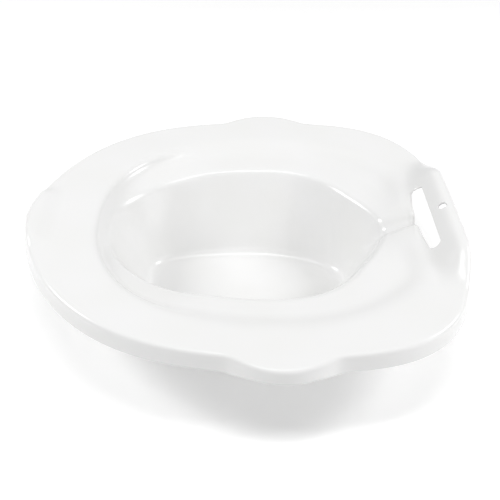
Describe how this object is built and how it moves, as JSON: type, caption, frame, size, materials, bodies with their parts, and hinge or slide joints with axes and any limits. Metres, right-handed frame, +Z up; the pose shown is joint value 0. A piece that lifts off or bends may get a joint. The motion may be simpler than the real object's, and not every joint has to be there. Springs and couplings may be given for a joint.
{
  "type": "sitz basin",
  "caption": "Shallow white oval basin that hangs over a toilet or stands on a flat surface, with a wide rim, side grip ears, a pouring lip and a raised handle end with a hand slot.",
  "frame": {"origin": "centre of the bounding box at ground level, under the flat floor", "axes": "+X towards the handle end with the hand slot, +Z up, +Y across towards the back ear"},
  "size_m": [0.406, 0.3758, 0.1049],
  "materials": {
    "polypropylene": "glossy moulded polypropylene, opaque white"
  },
  "bodies": {
    "root": {"floor_pan": "polypropylene", "bowl_wall_back": "polypropylene", "bowl_wall_back_right": "polypropylene", "bowl_wall_back_left": "polypropylene", "bowl_wall_front": "polypropylene", "bowl_wall_front_right": "polypropylene", "bowl_wall_front_left": "polypropylene", "seat_ledge_back": "polypropylene", "seat_ledge_front": "polypropylene", "seat_ledge_left": "polypropylene", "overflow_channel": "polypropylene", "handle_plate": "polypropylene", "pouring_lip": "polypropylene", "rim_flange_back": "polypropylene", "skirt_back_right": "polypropylene", "ear_back": "polypropylene", "skirt_back_left": "polypropylene", "rim_flange_front": "polypropylene", "skirt_front_right": "polypropylene", "ear_front": "polypropylene", "skirt_front_left": "polypropylene"}
  },
  "joints": []
}
